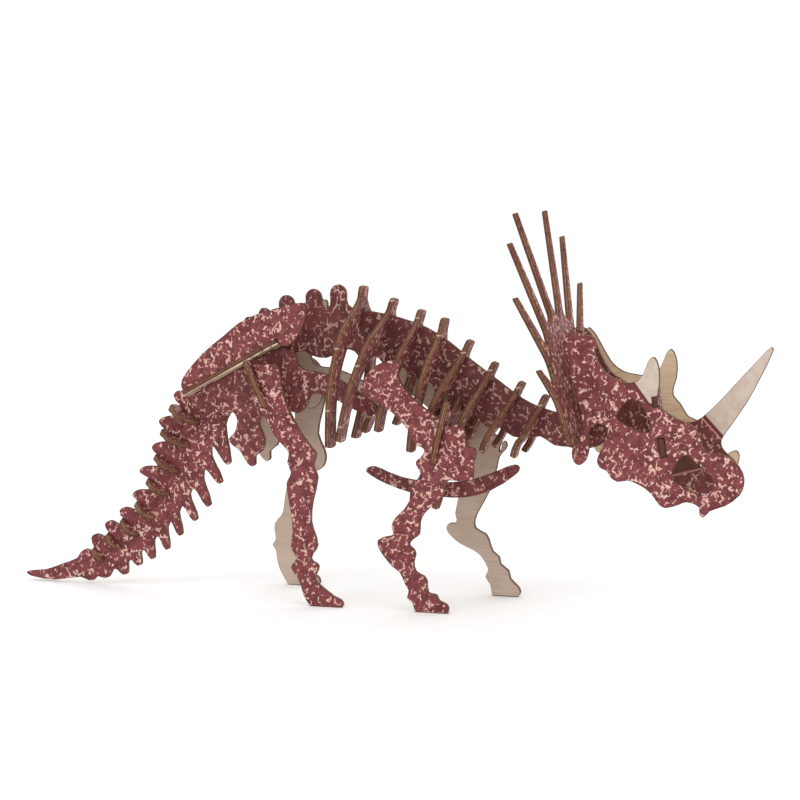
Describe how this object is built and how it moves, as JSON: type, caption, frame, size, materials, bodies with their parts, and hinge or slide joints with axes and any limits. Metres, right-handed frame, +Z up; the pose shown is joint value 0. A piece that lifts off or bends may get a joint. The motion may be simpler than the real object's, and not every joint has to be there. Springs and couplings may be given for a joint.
{
  "type": "wooden dinosaur skeleton puzzle",
  "caption": "Flat-pack plywood skeleton of a horned dinosaur with a spiked frill, slotted together from upright and cross plates, standing on its feet.",
  "frame": {"origin": "middle of the overall length and width, on the surface the feet stand on", "axes": "+X towards the head, +Y towards the animal's left, +Z up"},
  "size_m": [0.4229, 0.1542, 0.2118],
  "materials": {
    "printed_ply": "maroon crackle print on one side, satin",
    "horn_ply": "cream horn over maroon print, satin",
    "bare_ply": "bare sanded face, burnt edge"
  },
  "bodies": {
    "body": {"spine_plate": "printed_ply", "sacral_shelf": "bare_ply", "hip_plate_left": "printed_ply", "hip_plate_right": "printed_ply", "pelvis_cross_plate": "printed_ply", "shoulder_girdle": "printed_ply"},
    "rib_1": {"rib_1": "printed_ply"},
    "rib_2": {"rib_2": "printed_ply"},
    "rib_3": {"rib_3": "printed_ply"},
    "rib_4": {"rib_4": "printed_ply"},
    "rib_5": {"rib_5": "printed_ply"},
    "rib_6": {"rib_6": "printed_ply"},
    "rib_7": {"rib_7": "printed_ply"},
    "rib_8": {"rib_8": "printed_ply"},
    "tail": {"tail_plate": "printed_ply"},
    "tail_vertebra_1": {"tail_vertebra_1": "printed_ply"},
    "tail_vertebra_2": {"tail_vertebra_2": "printed_ply"},
    "tail_vertebra_3": {"tail_vertebra_3": "printed_ply"},
    "tail_vertebra_4": {"tail_vertebra_4": "printed_ply"},
    "tail_vertebra_5": {"tail_vertebra_5": "printed_ply"},
    "tail_vertebra_6": {"tail_vertebra_6": "printed_ply"},
    "tail_vertebra_7": {"tail_vertebra_7": "printed_ply"},
    "tail_vertebra_8": {"tail_vertebra_8": "printed_ply"},
    "head": {"skull_core": "horn_ply", "brow_cross_plate": "printed_ply"},
    "frill": {"frill_plate": "printed_ply"},
    "skull_side_right": {"skull_side_right": "printed_ply"},
    "skull_side_left": {"skull_side_left": "printed_ply"},
    "ilium_right": {"ilium_right": "printed_ply"},
    "ilium_left": {"ilium_left": "printed_ply"},
    "front_leg_right": {"front_leg_right": "printed_ply"},
    "front_leg_left": {"front_leg_left": "printed_ply"},
    "hind_leg_right": {"hind_leg_right": "printed_ply"},
    "hind_leg_left": {"hind_leg_left": "printed_ply"},
    "sternum": {"sternum_plate": "printed_ply"}
  },
  "joints": [
    {"name": "rib_1_lift", "type": "slide", "parent": "body", "child": "rib_1", "axis": [0.1392, 0, 0.9903], "range_m": [0, 0.014]},
    {"name": "rib_2_lift", "type": "slide", "parent": "body", "child": "rib_2", "axis": [0.3007, 0, 0.9537], "range_m": [0, 0.014]},
    {"name": "rib_3_lift", "type": "slide", "parent": "body", "child": "rib_3", "axis": [0.2924, 0, 0.9563], "range_m": [0, 0.014]},
    {"name": "rib_4_lift", "type": "slide", "parent": "body", "child": "rib_4", "axis": [0.2079, 0, 0.9781], "range_m": [0, 0.014]},
    {"name": "rib_5_lift", "type": "slide", "parent": "body", "child": "rib_5", "axis": [0.4067, 0, 0.9136], "range_m": [0, 0.014]},
    {"name": "rib_6_lift", "type": "slide", "parent": "body", "child": "rib_6", "axis": [0.4147, 0, 0.91], "range_m": [0, 0.014]},
    {"name": "rib_7_lift", "type": "slide", "parent": "body", "child": "rib_7", "axis": [0.454, 0, 0.891], "range_m": [0, 0.01]},
    {"name": "rib_8_lift", "type": "slide", "parent": "body", "child": "rib_8", "axis": [0.4226, 0, 0.9063], "range_m": [0, 0.007]},
    {"name": "tail_slide", "type": "slide", "parent": "body", "child": "tail", "axis": [-0.8746, 0, -0.4848], "range_m": [0, 0.034]},
    {"name": "tail_vertebra_1_lift", "type": "slide", "parent": "tail", "child": "tail_vertebra_1", "axis": [-0.8988, 0, 0.4384], "range_m": [0, 0.0115]},
    {"name": "tail_vertebra_2_lift", "type": "slide", "parent": "tail", "child": "tail_vertebra_2", "axis": [-0.9136, 0, 0.4067], "range_m": [0, 0.0109]},
    {"name": "tail_vertebra_3_lift", "type": "slide", "parent": "tail", "child": "tail_vertebra_3", "axis": [-0.866, 0, 0.5], "range_m": [0, 0.0101]},
    {"name": "tail_vertebra_4_lift", "type": "slide", "parent": "tail", "child": "tail_vertebra_4", "axis": [-0.8829, 0, 0.4695], "range_m": [0, 0.0095]},
    {"name": "tail_vertebra_5_lift", "type": "slide", "parent": "tail", "child": "tail_vertebra_5", "axis": [-0.829, 0, 0.5592], "range_m": [0, 0.009]},
    {"name": "tail_vertebra_6_lift", "type": "slide", "parent": "tail", "child": "tail_vertebra_6", "axis": [-0.788, 0, 0.6157], "range_m": [0, 0.0082]},
    {"name": "tail_vertebra_7_lift", "type": "slide", "parent": "tail", "child": "tail_vertebra_7", "axis": [-0.7193, 0, 0.6947], "range_m": [0, 0.0073]},
    {"name": "tail_vertebra_8_lift", "type": "slide", "parent": "tail", "child": "tail_vertebra_8", "axis": [-0.7431, 0, 0.6691], "range_m": [0, 0.0062]},
    {"name": "head_lift", "type": "slide", "parent": "body", "child": "head", "axis": [-0.2521, 0, 0.9677], "range_m": [0, 0.014]},
    {"name": "frill_lift", "type": "slide", "parent": "head", "child": "frill", "axis": [-0.2521, 0, 0.9677], "range_m": [0, 0.034]},
    {"name": "skull_side_right_pull", "type": "slide", "parent": "head", "child": "skull_side_right", "axis": [0, -1, 0], "range_m": [0, 0.007]},
    {"name": "skull_side_left_pull", "type": "slide", "parent": "head", "child": "skull_side_left", "axis": [0, 1, 0], "range_m": [0, 0.007]},
    {"name": "ilium_right_lift", "type": "slide", "parent": "body", "child": "ilium_right", "axis": [-0.4848, 0, 0.8746], "range_m": [0, 0.007]},
    {"name": "ilium_left_lift", "type": "slide", "parent": "body", "child": "ilium_left", "axis": [-0.4848, 0, 0.8746], "range_m": [0, 0.007]},
    {"name": "front_leg_right_slide", "type": "slide", "parent": "body", "child": "front_leg_right", "axis": [-0.2301, 0, -0.9732], "range_m": [0, 0.025]},
    {"name": "front_leg_left_slide", "type": "slide", "parent": "body", "child": "front_leg_left", "axis": [-0.2301, 0, -0.9732], "range_m": [0, 0.025]},
    {"name": "hind_leg_right_slide", "type": "slide", "parent": "body", "child": "hind_leg_right", "axis": [0.4115, 0, -0.9114], "range_m": [0, 0.026]},
    {"name": "hind_leg_left_slide", "type": "slide", "parent": "body", "child": "hind_leg_left", "axis": [0.4115, 0, -0.9114], "range_m": [0, 0.026]},
    {"name": "sternum_slide", "type": "slide", "parent": "body", "child": "sternum", "axis": [-0.2301, 0, -0.9732], "range_m": [0, 0.013]}
  ]
}
